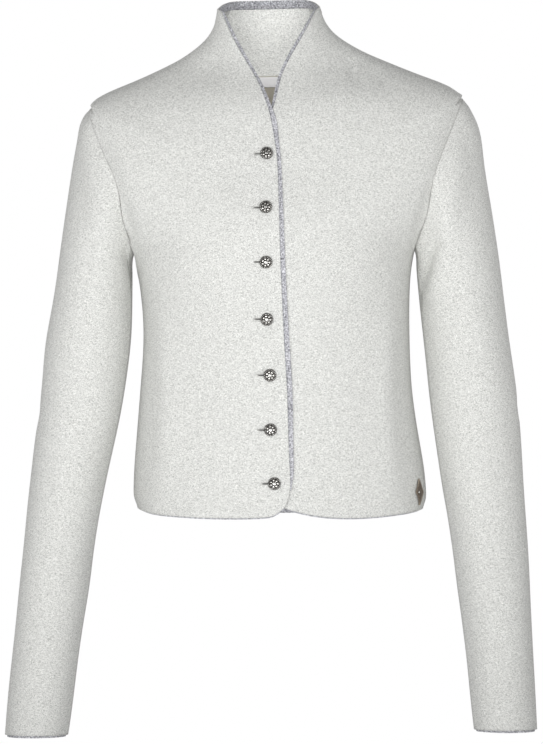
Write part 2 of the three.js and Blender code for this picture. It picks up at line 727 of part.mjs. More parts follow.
// Leather diamond near the left side seam
function leatherPatch() {
  const start = new THREE.Vector3(patch.x, inFront, patch.height);
  const centre = dropOnto(leftFrontWall, start, backwards);
  const across = new THREE.Vector3(0, 0, 1).cross(centre.normal).normalize();
  const inwards = centre.normal.clone().negate();
  const rows = Array.from({ length: patch.cells + 1 }, (_, j) =>
    Array.from({ length: patch.cells + 1 }, (_, i) => {
      const step = ((i - j) / patch.cells) * (patch.width / 2);
      const rise = ((i + j) / patch.cells - 1) * (patch.tall / 2);
      const above = centre.point.clone().addScaledVector(across, step).addScaledVector(centre.normal, 20);
      above.z += rise;
      return { point: dropOnto(leftFrontWall, above, inwards).point, normal: centre.normal };
    }),
  );
  const bottom = seamGap + 0.1;
  return wallOn(rows, bottom + patch.thickness, bottom);
}
addPiece("leather_patch", leatherPatch(), "leather");

// Buttons: a domed disc with a raised rim, and the flat shank that goes through the buttonhole
function buttonGeometry() {
  const { radius, thickness, rim } = button;
  const profile = [
    [0, 0],
    [radius - 0.5, 0],
    [radius, 0.6],
    [radius - 0.3, thickness],
    [radius - 1.2, thickness],
    [radius - 1.2 - rim, thickness - rim],
    [radius * 0.4, thickness + 0.1],
    [0, thickness + 0.4],
  ].map(([x, y]) => new THREE.Vector2(x, y));
  const disc = new THREE.LatheGeometry(profile, 16);
  disc.rotateX(Math.PI / 2);
  const reach = overlapLift;
  const shank = new THREE.BoxGeometry(button.shankWidth, button.shankThickness, reach + 0.5);
  shank.translate(0, 0, 0.5 - (reach + 0.5) / 2);
  return toGeometry(toSolid(disc).add(toSolid(shank)));
}

buttonPlaces.forEach((row, i) => {
  const piece = addPiece("button_" + (i + 1), buttonGeometry(), "silver");
  const matrix = facing(buttonPlace(row), seamGap);
  matrix.decompose(piece.position, piece.quaternion, piece.scale);
});

export default jacket;
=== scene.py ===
import math

import bmesh
import bpy
import numpy as np
from mathutils import Matrix, Vector, noise
from mathutils.bvhtree import BVHTree


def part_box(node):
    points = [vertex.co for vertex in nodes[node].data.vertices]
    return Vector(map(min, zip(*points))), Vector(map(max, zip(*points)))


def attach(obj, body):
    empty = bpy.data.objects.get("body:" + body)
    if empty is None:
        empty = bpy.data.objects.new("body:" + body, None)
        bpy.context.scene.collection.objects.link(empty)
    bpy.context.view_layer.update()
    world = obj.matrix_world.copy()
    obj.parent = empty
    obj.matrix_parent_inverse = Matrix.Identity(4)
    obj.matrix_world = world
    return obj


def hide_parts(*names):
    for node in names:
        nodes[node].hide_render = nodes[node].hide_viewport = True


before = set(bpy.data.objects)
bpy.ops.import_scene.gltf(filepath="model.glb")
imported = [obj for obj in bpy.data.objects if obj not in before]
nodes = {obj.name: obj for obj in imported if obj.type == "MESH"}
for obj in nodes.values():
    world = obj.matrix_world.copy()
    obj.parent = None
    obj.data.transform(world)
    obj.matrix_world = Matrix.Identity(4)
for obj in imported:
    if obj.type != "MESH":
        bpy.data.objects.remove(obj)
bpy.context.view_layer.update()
mm = 0.001
print("frame loaded:", len(nodes), "nodes")


# Small helpers

def newObject(name, mesh):
    thing = bpy.data.objects.new(name, mesh)
    bpy.context.scene.collection.objects.link(thing)
    return thing


def meshFrom(shape, name):
    mesh = bpy.data.meshes.new(name)
    shape.to_mesh(mesh)
    shape.free()
    return mesh


def readPoints(mesh):
    points = np.empty(len(mesh.vertices) * 3)
    mesh.vertices.foreach_get("co", points)
    return points.reshape(-1, 3)


def writePoints(mesh, points):
    mesh.vertices.foreach_set("co", points.ravel())
    mesh.update()


def smoothStep(value, low, high):
    share = np.clip((value - low) / (high - low), 0, 1)
    return share * share * (3 - 2 * share)


# Shader groups and materials

def addNode(tree, kind, **settings):
    node = tree.nodes.new(kind)
    for key, value in settings.items():
        setattr(node, key, value)
    return node


def newGroup(name, inputs, outputs):
    group = bpy.data.node_groups.new(name, "ShaderNodeTree")
    for label, start in inputs.items():
        kind = "NodeSocketVector" if label == "Vector" else "NodeSocketFloat"
        socket = group.interface.new_socket(label, in_out="INPUT", socket_type=kind)
        if start is not None:
            socket.default_value = start
    for label in outputs:
        group.interface.new_socket(label, in_out="OUTPUT", socket_type="NodeSocketFloat")
    return group, addNode(group, "NodeGroupInput"), addNode(group, "NodeGroupOutput")


def mathNode(tree, operation, first, second=None):
    node = addNode(tree, "ShaderNodeMath", operation=operation)
    for socket, value in zip(node.inputs, (first, second)):
        if value is None:
            continue
        if isinstance(value, (int, float)):
            socket.default_value = value
        else:
            tree.links.new(value, socket)
    return node.outputs[0]


def noiseNode(tree, vector, scale, detail, roughness=0.5, distortion=0):
    node = addNode(tree, "ShaderNodeTexNoise")
    tree.links.new(vector, node.inputs["Vector"])
    if isinstance(scale, (int, float)):
        node.inputs["Scale"].default_value = scale
    else:
        tree.links.new(scale, node.inputs["Scale"])
    node.inputs["Detail"].default_value = detail
    node.inputs["Roughness"].default_value = roughness
    node.inputs["Distortion"].default_value = distortion
    return node.outputs["Fac"]


feltPattern = {
    "tuftDetail": 1.5, "tuftRough": 0.55, "tuftTwist": 0.4,
    "streakStretch": (0.33, 0.33, 1), "streakDetail": 2, "streakRough": 0.5,
    "cloudScale": 34, "cloudDetail": 3, "cloudRough": 0.55,
    "fibreScale": 2300, "fibreDetail": 2, "fibreRough": 0.6,
    "tuftHeight": 0.75, "fibreHeight": 0.25,
}


# Felted fibre: short streaks that lie level, curly tufts, and broad soft clouds of tone.
def feltedFibre():
    group, into, out = newGroup(
        "Felted fibre",
        {"Vector": None, "Grain": 560.0, "Level": 1.5, "Streak": 0.35},
        ["Speckle", "Clouds", "Height"],
    )
    links = group.links
    combine = addNode(group, "ShaderNodeCombineXYZ")
    combine.inputs["X"].default_value = 1
    combine.inputs["Y"].default_value = 1
    links.new(into.outputs["Level"], combine.inputs["Z"])
    flat = addNode(group, "ShaderNodeVectorMath", operation="MULTIPLY")
    links.new(into.outputs["Vector"], flat.inputs[0])
    links.new(combine.outputs[0], flat.inputs[1])
    tufts = noiseNode(
        group, flat.outputs[0], into.outputs["Grain"],
        feltPattern["tuftDetail"], feltPattern["tuftRough"], feltPattern["tuftTwist"],
    )
    long = addNode(group, "ShaderNodeVectorMath", operation="MULTIPLY")
    links.new(into.outputs["Vector"], long.inputs[0])
    long.inputs[1].default_value = feltPattern["streakStretch"]
    streaks = noiseNode(
        group, long.outputs[0], into.outputs["Grain"],
        feltPattern["streakDetail"], feltPattern["streakRough"],
    )
    streaks = mathNode(group, "SUBTRACT", streaks, 0.5)
    speckle = mathNode(group, "ADD", tufts, mathNode(group, "MULTIPLY", streaks, into.outputs["Streak"]))
    clouds = noiseNode(
        group, into.outputs["Vector"],
        feltPattern["cloudScale"], feltPattern["cloudDetail"], feltPattern["cloudRough"],
    )
    fibre = noiseNode(
        group, into.outputs["Vector"],
        feltPattern["fibreScale"], feltPattern["fibreDetail"], feltPattern["fibreRough"],
    )
    tuftPart = mathNode(group, "MULTIPLY", speckle, feltPattern["tuftHeight"])
    fibrePart = mathNode(group, "MULTIPLY", fibre, feltPattern["fibreHeight"])
    height = mathNode(group, "ADD", tuftPart, fibrePart)
    links.new(speckle, out.inputs["Speckle"])
    links.new(clouds, out.inputs["Clouds"])
    links.new(height, out.inputs["Height"])
    return group


slubs = {"scale": 420, "detail": 2, "rough": 0.5}


# Threads of a plain or satin weave, across and up.
def wovenThreads():
    group, into, out = newGroup(
        "Woven threads",
        {"Vector": None, "Threads": 1500.0},
        ["Weave", "Slub"],
    )
    links = group.links
    parts = addNode(group, "ShaderNodeSeparateXYZ")
    links.new(into.outputs["Vector"], parts.inputs[0])
    across = mathNode(group, "MULTIPLY", parts.outputs["X"], into.outputs["Threads"])
    up = mathNode(group, "MULTIPLY", parts.outputs["Z"], into.outputs["Threads"])
    waves = mathNode(
        group,
        "MULTIPLY",
        mathNode(group, "SINE", mathNode(group, "MULTIPLY", across, math.pi)),
        mathNode(group, "SINE", mathNode(group, "MULTIPLY", up, math.pi)),
    )
    weave = mathNode(group, "ADD", mathNode(group, "MULTIPLY", waves, 0.5), 0.5)
    slub = noiseNode(group, into.outputs["Vector"], slubs["scale"], slubs["detail"], slubs["rough"])
    links.new(weave, out.inputs["Weave"])
    links.new(slub, out.inputs["Slub"])
    return group


fibreGroup = feltedFibre()
weaveGroup = wovenThreads()


def newMaterial(name, roughness, metallic=0.0, sheen=0.0, sheenRoughness=0.5):
    material = bpy.data.materials.new(name)
    material.use_nodes = True
    tree = material.node_tree
    shader = tree.nodes["Principled BSDF"]
    shader.inputs["Roughness"].default_value = roughness
    shader.inputs["Metallic"].default_value = metallic
    shader.inputs["Sheen Weight"].default_value = sheen
    shader.inputs["Sheen Roughness"].default_value = sheenRoughness
    place = addNode(tree, "ShaderNodeTexCoord").outputs["Object"]
    return material, tree, shader, place


def rampNode(tree, value, stops):
    node = addNode(tree, "ShaderNodeValToRGB")
    tree.links.new(value, node.inputs[0])
    ramp = node.color_ramp
    while len(ramp.elements) < len(stops):
        ramp.elements.new(0.5)
    for element, (at, colour) in zip(ramp.elements, stops):
        element.position = at
        element.color = (*colour, 1)
    return node.outputs[0]


def mixColours(tree, share, first, second):
    node = addNode(tree, "ShaderNodeMix", data_type="RGBA")
    for socket, value in ((node.inputs[0], share), (node.inputs[6], first), (node.inputs[7], second)):
        if isinstance(value, (int, float)):
            socket.default_value = value
        elif isinstance(value, tuple):
            socket.default_value = (*value, 1)
        else:
            tree.links.new(value, socket)
    return node.outputs[2]


def bumpInto(tree, shader, height, strength, distance):
    bump = addNode(tree, "ShaderNodeBump")
    bump.inputs["Strength"].default_value = strength
    bump.inputs["Distance"].default_value = distance
    tree.links.new(height, bump.inputs["Height"])
    tree.links.new(bump.outputs[0], shader.inputs["Normal"])


def useGroup(tree, group, place, **values):
    node = addNode(tree, "ShaderNodeGroup", node_tree=group)
    tree.links.new(place, node.inputs["Vector"])
    for label, value in values.items():
        node.inputs[label].default_value = value
    return node.outputs


boiledWool = {
    "dark": (0.38, 0.382, 0.366),
    "middle": (0.74, 0.745, 0.718),
    "light": (0.99, 0.992, 0.965),
    "stops": (0.34, 0.5, 0.66),
    "cloudShare": 0.06,
    "cloudTone": 0.86,
    "grain": 1220.0,
    "level": 1.9,
    "streak": 0.35,
    "bump": 0.6,
    "relief": 0.0006,
}
feltSurface = {"rough": 0.95, "sheen": 0.12, "sheenRough": 0.45}


def feltMaterial(name):
    return newMaterial(
        name, feltSurface["rough"], sheen=feltSurface["sheen"], sheenRoughness=feltSurface["sheenRough"],
    )


def threeTones(look):
    return list(zip(look["stops"], (look["dark"], look["middle"], look["light"])))


def makeWool():
    material, tree, shader, place = feltMaterial("Boiled wool")
    felt = useGroup(
        tree, fibreGroup, place,
        Grain=boiledWool["grain"], Level=boiledWool["level"], Streak=boiledWool["streak"],
    )
    tone = rampNode(tree, felt["Speckle"], threeTones(boiledWool))
    darker = tuple(boiledWool["cloudTone"] * part for part in boiledWool["middle"])
    cloudy = mathNode(tree, "MULTIPLY", felt["Clouds"], boiledWool["cloudShare"])
    tree.links.new(mixColours(tree, cloudy, tone, darker), shader.inputs["Base Color"])
    bumpInto(tree, shader, felt["Height"], boiledWool["bump"], boiledWool["relief"])
    return material


greyStrip = {
    "dark": (0.13, 0.13, 0.145),
    "middle": (0.47, 0.472, 0.51),
    "light": (0.88, 0.88, 0.92),
    "stops": (0.3, 0.5, 0.7),
    "grain": 760.0,
    "level": 1.0,
    "streak": 0.15,
    "bump": 0.7,
    "relief": 0.0007,
}


def makeGreyWool():
    material, tree, shader, place = feltMaterial("Grey edging wool")
    felt = useGroup(
        tree, fibreGroup, place,
        Grain=greyStrip["grain"], Level=greyStrip["level"], Streak=greyStrip["streak"],
    )
    tree.links.new(rampNode(tree, felt["Speckle"], threeTones(greyStrip)), shader.inputs["Base Color"])
    bumpInto(tree, shader, felt["Height"], greyStrip["bump"], greyStrip["relief"])
    return material


antiqueSilver = {
    "bright": (0.9, 0.89, 0.86),
    "worn": (0.42, 0.4, 0.37),
    "black": (0.01, 0.009, 0.008),
    "stops": (0.08, 0.32, 0.6),
    "smooth": 0.2,
    "rougher": 0.4,
    "duller": 0.75,
    "stainScale": 900,
    "stains": 0.35,
}


def makeSilver():
    material, tree, shader, place = newMaterial("Antique silver", antiqueSilver["smooth"], metallic=1.0)
    hollow = addNode(tree, "ShaderNodeAttribute", attribute_name="hollow").outputs["Fac"]
    stains = mathNode(tree, "SUBTRACT", noiseNode(tree, place, antiqueSilver["stainScale"], 3, 0.6), 0.5)
    dirt = mathNode(tree, "ADD", hollow, mathNode(tree, "MULTIPLY", stains, antiqueSilver["stains"]))
    dirt = mathNode(tree, "MINIMUM", mathNode(tree, "MAXIMUM", dirt, 0.0), 1.0)
    tones = (antiqueSilver["bright"], antiqueSilver["worn"], antiqueSilver["black"])
    tone = rampNode(tree, dirt, list(zip(antiqueSilver["stops"], tones)))
    tree.links.new(tone, shader.inputs["Base Color"])
    rougher = mathNode(tree, "MULTIPLY", dirt, antiqueSilver["rougher"])
    tree.links.new(mathNode(tree, "ADD", rougher, antiqueSilver["smooth"]), shader.inputs["Roughness"])
    duller = mathNode(tree, "MULTIPLY", dirt, antiqueSilver["duller"])
    tree.links.new(mathNode(tree, "SUBTRACT", 1.0, duller), shader.inputs["Metallic"])
    return material


brownLeather = {
    "dark": (0.062, 0.045, 0.031),
    "middle": (0.125, 0.095, 0.07),
    "light": (0.22, 0.175, 0.133),
    "stops": (0.25, 0.5, 0.8),
    "wornEdge": (0.42, 0.36, 0.29),
    "wornShare": 0.55,
    "rough": 0.55,
    "poreScale": 1400,
    "poreHeight": 0.6,
    "grainScale": 700,
    "bump": 0.5,
    "relief": 0.0003,
}


def makeLeather():
    material, tree, shader, place = newMaterial("Brown leather", brownLeather["rough"])
    pores = addNode(tree, "ShaderNodeTexVoronoi")
    tree.links.new(place, pores.inputs["Vector"])
    pores.inputs["Scale"].default_value = brownLeather["poreScale"]
    grain = noiseNode(tree, place, brownLeather["grainScale"], 4, 0.6)
    edge = addNode(tree, "ShaderNodeAttribute", attribute_name="edge").outputs["Fac"]
    tone = rampNode(tree, grain, threeTones(brownLeather))
    wornShare = mathNode(tree, "MULTIPLY", edge, brownLeather["wornShare"])
    tree.links.new(mixColours(tree, wornShare, tone, brownLeather["wornEdge"]), shader.inputs["Base Color"])
    poreHeight = mathNode(tree, "MULTIPLY", pores.outputs["Distance"], brownLeather["poreHeight"])
    height = mathNode(tree, "ADD", poreHeight, grain)
    bumpInto(tree, shader, height, brownLeather["bump"], brownLeather["relief"])
    return material


taupeFacing = {
    "dark": (0.26, 0.24, 0.195),
    "light": (0.5, 0.47, 0.395),
    "slub": (0.38, 0.35, 0.285),
    "slubShare": 0.35,
    "stops": (0.1, 0.9),
    "rough": 0.8,
    "sheen": 0.08,
    "threads": 1700.0,
    "bump": 0.4,
    "relief": 0.0002,
}
labelSatin = {
    "dark": (0.72, 0.71, 0.71),
    "light": (0.86, 0.855, 0.86),
    "stops": (0.1, 0.9),
    "rough": 0.42,
    "threads": 2600.0,
    "bump": 0.3,
    "relief": 0.0001,
}


def twoTones(look):
    return list(zip(look["stops"], (look["dark"], look["light"])))


def makeFacing():
    material, tree, shader, place = newMaterial(
        "Taupe facing", taupeFacing["rough"], sheen=taupeFacing["sheen"],
    )
    threads = useGroup(tree, weaveGroup, place, Threads=taupeFacing["threads"])
    tone = rampNode(tree, threads["Weave"], twoTones(taupeFacing))
    slubShare = mathNode(tree, "MULTIPLY", threads["Slub"], taupeFacing["slubShare"])
    tree.links.new(mixColours(tree, slubShare, tone, taupeFacing["slub"]), shader.inputs["Base Color"])
    bumpInto(tree, shader, threads["Weave"], taupeFacing["bump"], taupeFacing["relief"])
    return material


def makeLabel():
    material, tree, shader, place = newMaterial("Bare label satin", labelSatin["rough"])
    threads = useGroup(tree, weaveGroup, place, Threads=labelSatin["threads"])
    tree.links.new(rampNode(tree, threads["Weave"], twoTones(labelSatin)), shader.inputs["Base Color"])
    bumpInto(tree, shader, threads["Weave"], labelSatin["bump"], labelSatin["relief"])
    return material


materials = {
    "wool": makeWool(),
    "edging": makeGreyWool(),
    "silver": makeSilver(),
    "leather": makeLeather(),
    "facing": makeFacing(),
    "label": makeLabel(),
}
print("materials made")


# Where the folds lie: lines drawn on the cloth as seen from the side that "seen" names, in millimetres.
# The first number of each point is X, or Y from the right and left, and the second is Z, or Y from the top.
# A height below 0 is a trough. "lower" moves the line down, past the hem's edge.
folds = [
    # Armhole seams and sleeve heads in front
    {"seen": "front", "width": 11, "height": -3.4,
     "line": [(-180, -70), (-173, -96), (-164, -122), (-155, -146), (-146, -172), (-142, -190)]},
    {"seen": "front", "width": 11, "height": -3.4,
     "line": [(176, -66), (169, -92), (160, -118), (150, -144), (141, -172), (138, -190)]},
    {"seen": "front", "width": 14, "height": 2.6,
     "line": [(-192, -92), (-184, -122), (-174, -152), (-165, -182), (-160, -208)]},
    {"seen": "front", "width": 14, "height": 2.6,
     "line": [(188, -88), (181, -118), (172, -148), (164, -176), (160, -200)]},
    {"seen": "front", "width": 8, "height": -4.5,
     "line": [(160, -176), (152, -194), (146, -214), (142, -240)]},
    {"seen": "front", "width": 9, "height": 2.2, "line": [(166, -196), (158, -218), (152, -246)]},
    {"seen": "front", "width": 9, "height": -3.0, "line": [(-150, -184), (-146, -202), (-143, -226)]},
    # Where the collar grows out of the shoulders
    {"seen": "front", "width": 17, "height": -1.6, "line": [(-112, -16), (-84, -8), (-58, -6), (-40, -8)]},
    {"seen": "front", "width": 17, "height": -1.6, "line": [(28, -8), (52, -5), (82, -6), (112, -14)]},
    {"seen": "front", "width": 16, "height": 1.2,
     "line": [(-125, -48), (-84, -40), (-50, -38), (-22, -46)]},
    {"seen": "front", "width": 16, "height": 1.2, "line": [(12, -46), (44, -38), (82, -38), (122, -44)]},
    # Shoulder tips
    {"seen": "top", "width": 6, "height": -2.6, "line": [(-190, -28), (-190, 0), (-190, 32)]},
    {"seen": "top", "width": 8, "height": -2.6, "line": [(182, -28), (183, 0), (182, 32)]},
    {"seen": "right", "width": 6, "height": -2.6, "line": [(-30, -47), (0, -44), (32, -47)]},
    {"seen": "right", "width": 10, "height": 1.2, "line": [(-36, -70), (0, -66), (38, -70)]},
    {"seen": "left", "width": 30, "height": 4.4, "line": [(-36, -74), (0, -68), (38, -74)]},
    # Short creases beside the neck
    {"seen": "front", "width": 7, "height": -1.6, "line": [(70, 8), (74, -6), (80, -20), (88, -34)]},
    {"seen": "front", "width": 7, "height": -1.2, "line": [(92, -6), (98, -18), (106, -30)]},
    {"seen": "front", "width": 8, "height": -1.2, "line": [(-62, 4), (-66, -10), (-74, -24)]},
    # Sides of the fronts, with the hem's corners turned in
    {"seen": "front", "width": 16, "height": 3.5,
     "line": [(-116, -235), (-111, -290), (-108, -345), (-112, -410), (-120, -450)]},
    {"seen": "front", "width": 16, "height": 3.5,
     "line": [(114, -235), (109, -290), (107, -345), (112, -410), (120, -450)]},
    {"seen": "insideRight", "width": 9, "height": 5.5, "lower": 6,
     "line": [(-62, -444), (8, -443), (62, -444)]},
    {"seen": "insideLeft", "width": 9, "height": 5.5, "lower": 6,
     "line": [(-62, -445), (8, -444), (62, -445)]},
    # Bust and elbows
    {"seen": "front", "width": 26, "height": 2.0, "line": [(-112, -196), (-70, -190), (-34, -196)]},
    {"seen": "front", "width": 26, "height": 2.0, "line": [(30, -196), (70, -190), (110, -194)]},
    {"seen": "front", "width": 10, "height": -1.2, "line": [(-214, -318), (-196, -332), (-178, -338)]},
    {"seen": "front", "width": 10, "height": -1.2, "line": [(214, -300), (198, -318), (182, -326)]},
    # Back and the backs of the sleeves
    {"seen": "back", "width": 11, "height": -3.0,
     "line": [(-182, -96), (-168, -130), (-156, -160), (-148, -190)]},
    {"seen": "back", "width": 11, "height": -3.0,
     "line": [(176, -96), (162, -130), (150, -160), (142, -190)]},
    {"seen": "back", "width": 12, "height": -2.6, "line": [(-150, -150), (-120, -138), (-88, -134)]},
    {"seen": "back", "width": 12, "height": -2.6, "line": [(146, -150), (116, -138), (86, -132)]},
    {"seen": "back", "width": 14, "height": -2.6,
     "line": [(-84, -286), (-40, -300), (6, -302), (50, -298), (88, -284)]},
    {"seen": "back", "width": 13, "height": 1.8,
     "line": [(-90, -318), (-40, -330), (10, -332), (54, -328), (92, -314)]},
    {"seen": "back", "width": 16, "height": 3.0,
     "line": [(-112, -240), (-106, -300), (-106, -350), (-114, -430)]},
    {"seen": "back", "width": 16, "height": 3.0,
     "line": [(110, -240), (105, -300), (104, -350), (114, -430)]},
    {"seen": "back", "width": 9, "height": -2.8, "line": [(-178, -330), (-196, -344), (-216, -350)]},
    {"seen": "back", "width": 9, "height": -2.8, "line": [(178, -322), (196, -338), (216, -344)]},
    {"seen": "back", "width": 9, "height": -2.0, "line": [(-186, -366), (-202, -376), (-222, -378)]},
    {"seen": "back", "width": 9, "height": -2.0, "line": [(188, -360), (204, -370), (222, -372)]},
    {"seen": "right", "width": 10, "height": -1.8, "line": [(34, -336), (10, -352), (-14, -356)]},
    {"seen": "left", "width": 10, "height": -1.8, "line": [(34, -328), (10, -346), (-14, -350)]},
    {"seen": "back", "width": 12, "height": -1.6,
     "line": [(-70, -12), (-36, -18), (0, -20), (34, -18), (66, -10)]},
]
viewDirections = {
    "front": Vector((0, 1, 0)),
    "back": Vector((0, -1, 0)),
    "right": Vector((1, 0, 0)),
    "left": Vector((-1, 0, 0)),
    "top": Vector((0, 0, -1)),
    "insideRight": Vector((-1, 0, 0)),
    "insideLeft": Vector((1, 0, 0)),
}
castFrom = 0.6  # starts beyond the garment, or in its middle for the inside directions
pathSteps = 4  # points on each stretch of a fold's line
foldEnds = 0.7  # below 1, a fold keeps its height nearer to its ends
softness = {"wave": 0.0008, "perMetre": 15, "seed": 5}
noise.seed_set(softness["seed"])  # so the waves fall the same way every time
woolNodes = [
    "right_front", "left_front", "back",
    "right_upper_sleeve", "left_upper_sleeve", "right_under_sleeve", "left_under_sleeve",
]


def surfaceTree(names):
    joined = bmesh.new()
    for name in names:
        joined.from_mesh(nodes[name].data)
    tree = BVHTree.FromBMesh(joined)
    joined.free()
    return tree


woolTree = surfaceTree(woolNodes)


def castOn(tree, seen, first, second):
    direction = viewDirections[seen]
    if direction.x:
        start = Vector((0, first, second))
    elif direction.z:
        start = Vector((first, second, 0))
    else:
        start = Vector((first, 0, second))
    if not seen.startswith("inside"):
        start -= direction * castFrom
    point, normal, _, _ = tree.ray_cast(start, direction)
    return point, normal


# The fold's line laid on the cloth, and the direction in which the cloth faces along it.
def foldPath(fold):
    line = fold["line"]
    drawn = []
    for (a, b), (c, d) in zip(line, line[1:]):
        for step in range(pathSteps):
            share = step / pathSteps
            drawn.append((a + (c - a) * share, b + (d - b) * share))
    drawn.append(line[-1])
    hits = [castOn(woolTree, fold["seen"], first * mm, second * mm) for first, second in drawn]
    hits = [hit for hit in hits if hit[0] is not None]
    outwards = Vector()
    for _, normal in hits:
        outwards += normal
    path = np.array([tuple(point) for point, _ in hits])
    path[:, 2] -= fold.get("lower", 0) * mm
    return path, np.array(tuple(outwards.normalized()))


foldPaths = [(*foldPath(fold), fold["width"] * mm, fold["height"] * mm) for fold in folds]


# How far the folds move each of the points.
def foldMoves(points):
    moves = np.zeros_like(points)
    for path, outwards, width, height in foldPaths:
        reach = 3 * width
        close = np.all((points > path.min(axis=0) - reach) & (points < path.max(axis=0) + reach), axis=1)
        if not close.any():
            continue
        here = points[close]
        distance = np.full(len(here), np.inf)
        along = np.zeros(len(here))
        count = len(path) - 1
        for k in range(count):
            step = path[k + 1] - path[k]
            share = np.clip((here - path[k]) @ step / (step @ step), 0, 1)
            away = np.linalg.norm(here - path[k] - share[:, None] * step, axis=1)
            nearer = away < distance
            distance = np.where(nearer, away, distance)
            along = np.where(nearer, (k + share) / count, along)
        ends = np.sin(np.pi * along) ** foldEnds
        weight = np.exp(-((distance / width) ** 2)) * ends
        moves[close] += outwards * (height * weight)[:, None]
    return moves


def softWaves(points):
    waves = [noise.noise_vector(Vector(point) * softness["perMetre"]) for point in points]
    return np.array([tuple(wave) for wave in waves]) * softness["wave"]


def shapeCloth(mesh):
    points = readPoints(mesh)
    writePoints(mesh, points + foldMoves(points) + softWaves(points))


# Cloth pieces: a merged copy of each node, its rim kept narrow, subdivided and shaped.
rimAngle = math.radians(50)
mergeWithin = 0.02 * mm
joinFlat = math.radians(38)
joinSquare = math.radians(62)
seamCloser = 0.12 * mm  # how far each rim moves towards its neighbour


def nodeShell(name, rimCrease):
    shell = bmesh.new()
    shell.from_mesh(nodes[name].data)
    bmesh.ops.remove_doubles(shell, verts=shell.verts, dist=mergeWithin)
    bmesh.ops.join_triangles(
        shell, faces=shell.faces, angle_face_threshold=joinFlat, angle_shape_threshold=joinSquare,
    )
    crease = shell.edges.layers.float.new("crease_edge")
    for edge in shell.edges:
        if len(edge.link_faces) == 2 and edge.calc_face_angle() > rimAngle:
            edge[crease] = rimCrease
    shell.normal_update()
    outwards = {}
    for face in shell.faces:
        face.smooth = True
        if sum(edge[crease] > 0 for edge in face.edges) > 1:
            for vertex in face.verts:
                outwards[vertex] = outwards.get(vertex, Vector()) + face.normal
    for vertex, direction in outwards.items():
        vertex.co += direction.normalized() * seamCloser
    return shell


def subdivided(mesh, name, times):
    carrier = newObject(name, mesh)
    modifier = carrier.modifiers.new("Smooth", "SUBSURF")
    modifier.levels = times
    modifier.render_levels = times
    graph = bpy.context.evaluated_depsgraph_get()
    smoothed = bpy.data.meshes.new_from_object(carrier.evaluated_get(graph))
    bpy.data.objects.remove(carrier)
    smoothed.name = name
    return smoothed


# Name of the finished piece, its node, material slot, the flat cut in metres and its area.
clothPieces = [
    {"piece": "rightFront", "node": "right_front", "slot": "wool", "flat": (0.25, 0.55), "area": 0.0955},
    {"piece": "leftFront", "node": "left_front", "slot": "wool", "flat": (0.26, 0.55), "area": 0.103},
    {"piece": "backPanel", "node": "back", "slot": "wool", "flat": (0.42, 0.53), "area": 0.182},
    {"piece": "rightUpperSleeve", "node": "right_upper_sleeve", "slot": "wool",
     "flat": (0.26, 0.63), "area": 0.116},
    {"piece": "leftUpperSleeve", "node": "left_upper_sleeve", "slot": "wool",
     "flat": (0.27, 0.63), "area": 0.12},
    {"piece": "rightUnderSleeve", "node": "right_under_sleeve", "slot": "wool",
     "flat": (0.085, 0.53), "area": 0.0337},
    {"piece": "leftUnderSleeve", "node": "left_under_sleeve", "slot": "wool",
     "flat": (0.085, 0.53), "area": 0.034},
    {"piece": "rightCuffEdging", "node": "right_cuff_edging", "slot": "edging",
     "flat": (0.235, 0.011), "area": 0.00255},
    {"piece": "leftCuffEdging", "node": "left_cuff_edging", "slot": "edging",
     "flat": (0.235, 0.011), "area": 0.00255},
    {"piece": "rightFrontEdging", "node": "right_front_edging", "slot": "edging",
     "flat": (0.0115, 0.56), "area": 0.0055},
    {"piece": "leftFrontEdging", "node": "left_front_edging", "slot": "edging",
     "flat": (0.01, 0.56), "area": 0.0048},
    {"piece": "rightHemEdging", "node": "right_hem_edging", "slot": "edging",
     "flat": (0.0105, 0.2), "area": 0.0021},
    {"piece": "leftHemEdging", "node": "left_hem_edging", "slot": "edging",
     "flat": (0.0105, 0.21), "area": 0.0022},
    {"piece": "backHemEdging", "node": "back_hem_edging", "slot": "edging",
     "flat": (0.0105, 0.36), "area": 0.0037},
    {"piece": "collarEdging", "node": "collar_edging", "slot": "edging",
     "flat": (0.01, 0.26), "area": 0.0021},
    {"piece": "neckFacing", "node": "neck_facing", "slot": "facing", "flat": (0.2, 0.09), "area": 0.0122},
    {"piece": "neckLabel", "node": "neck_label", "slot": "label", "finer": 1,
     "flat": (0.036, 0.0105), "area": 0.00037},
]
clothSteps = 2  # subdivisions of each cloth piece, and one more for the small label
rimCreases = {"wool": 1.0, "edging": 0.8, "facing": 1.0, "label": 1.0}
sharpFrom = math.radians(48)
finished = {}


def makeClothPiece(row):
    mesh = meshFrom(nodeShell(row["node"], rimCreases[row["slot"]]), row["piece"])
    mesh = subdivided(mesh, row["piece"], clothSteps + row.get("finer", 0))
    shapeCloth(mesh)
    mesh.set_sharp_from_angle(angle=sharpFrom)
    mesh.materials.clear()
    mesh.materials.append(materials[row["slot"]])
    piece = newObject(row["piece"], mesh)
    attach(piece, "root")
    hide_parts(row["node"])
    finished[row["node"]] = piece


for clothRow in clothPieces:
    makeClothPiece(clothRow)
print("cloth pieces made:", len(clothPieces))


